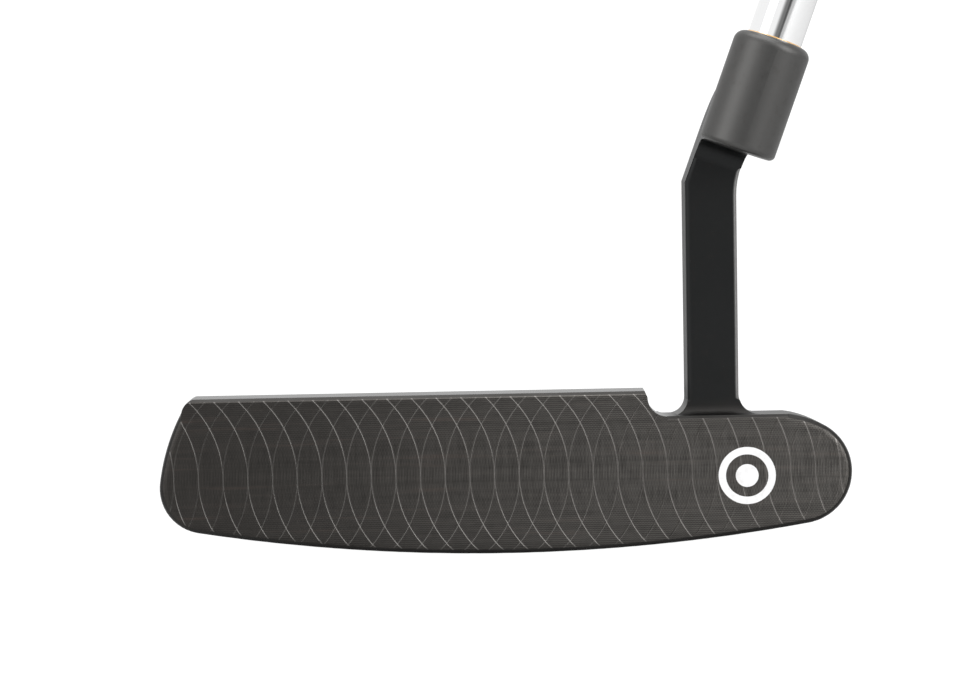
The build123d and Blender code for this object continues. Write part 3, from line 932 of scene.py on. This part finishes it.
def makeFloor():
    look = stageLook
    bm = bmesh.new()
    bmesh.ops.create_grid(bm, x_segments=1, y_segments=1, size=look["half"])
    floor = bareObject("floor", bm)
    bpy.context.scene.collection.objects.link(floor)
    white = Finish("paleFloor", Roughness=0.9, Base_Color=grey(look["floor"]))
    own = Field(white, white.shader.outputs[0])
    bright = white.add("ShaderNodeEmission", {}, {"Color": grey(1.0), "Strength": look["pale"]})
    shown = white.choose(look["shade"], bright, own)
    white.end("Material Output", white.choose(white.seenDirectly(), own, shown))
    floor.data.materials.append(white.material)


def makeWorld():  # darker straight ahead of the face, as where a camera stands
    look = stageLook
    world = bpy.data.worlds.new("studio")
    bpy.context.scene.world = world
    world.use_nodes = True
    sky = NodeTree(world.node_tree)
    sockets = {0: sky.add("ShaderNodeTexCoord", {}, {}, "Generated"), 1: look["ahead"]}
    toFront = sky.add("ShaderNodeVectorMath", {"operation": "DOT_PRODUCT"}, sockets, "Value")

    def zone(low, high, start, end):
        sockets = {"Value": toFront, "From Min": low, "From Max": high, "To Min": start, "To Max": end}
        return sky.add("ShaderNodeMapRange", {"interpolation_type": "SMOOTHSTEP"}, sockets)

    wide, core = (zone(*measures) for measures in look["zones"])
    background = sky.tree.nodes["Background"]
    background.inputs["Color"].default_value = grey(1.0)
    sky.tree.links.new((wide * core).socket, background.inputs["Strength"])
    light = Field(sky, background.outputs[0])
    shown = sky.add("ShaderNodeBackground", {}, {"Color": grey(1.0), "Strength": look["pale"]})
    sky.end("World Output", sky.choose(sky.seenDirectly(), light, shown))


lightLook = {
    "overhead": {"place": (0.0, 0.0, 1.3), "size": (1.2, 1.0), "power": 9.0},
    "right": {"place": (0.85, -0.7, 0.55), "size": (0.7, 0.9), "power": 6.0},
    "left": {"place": (-0.9, -0.6, 0.4), "size": (0.7, 0.9), "power": 3.0},
}


def makeLights(aim):
    for name, look in lightLook.items():
        lamp = bpy.data.lights.new(name, "AREA")
        lamp.shape = "RECTANGLE"
        lamp.size, lamp.size_y = look["size"]
        lamp.energy = look["power"]
        light = bpy.data.objects.new(name, lamp)
        light.location = look["place"]
        light.rotation_euler = (Vector(look["place"]) - aim).to_track_quat("Z", "Y").to_euler()
        bpy.context.scene.collection.objects.link(light)


cameraLook = {
    "lens": 94.5,
    "sensor": 36.0,
    "distance": 0.446,
    "rise": 4.7,          # above level, degrees
    "roll": -1.1,
    "clip": (0.01, 100.0),
    "aim": (-2.3, -12.5, 38.05),
}


def makeCamera():
    look = cameraLook
    rise = math.radians(look["rise"])
    aim = Vector(look["aim"]) * mm
    back = Vector((0, -math.cos(rise), math.sin(rise)))
    lens = bpy.data.cameras.new("camera")
    lens.lens = look["lens"]
    lens.sensor_width = look["sensor"]
    lens.clip_start, lens.clip_end = look["clip"]
    camera = bpy.data.objects.new("camera", lens)
    turn = back.to_track_quat("Z", "Y").to_matrix().to_4x4()
    roll = Matrix.Rotation(math.radians(look["roll"]), 4, "Z")
    camera.matrix_world = Matrix.Translation(aim + back * look["distance"]) @ turn @ roll
    bpy.context.scene.collection.objects.link(camera)
    bpy.context.scene.camera = camera
    return aim


makeFloor()
makeWorld()
makeLights(makeCamera())
bpy.context.scene.view_settings.view_transform = "Standard"
print("stage done")
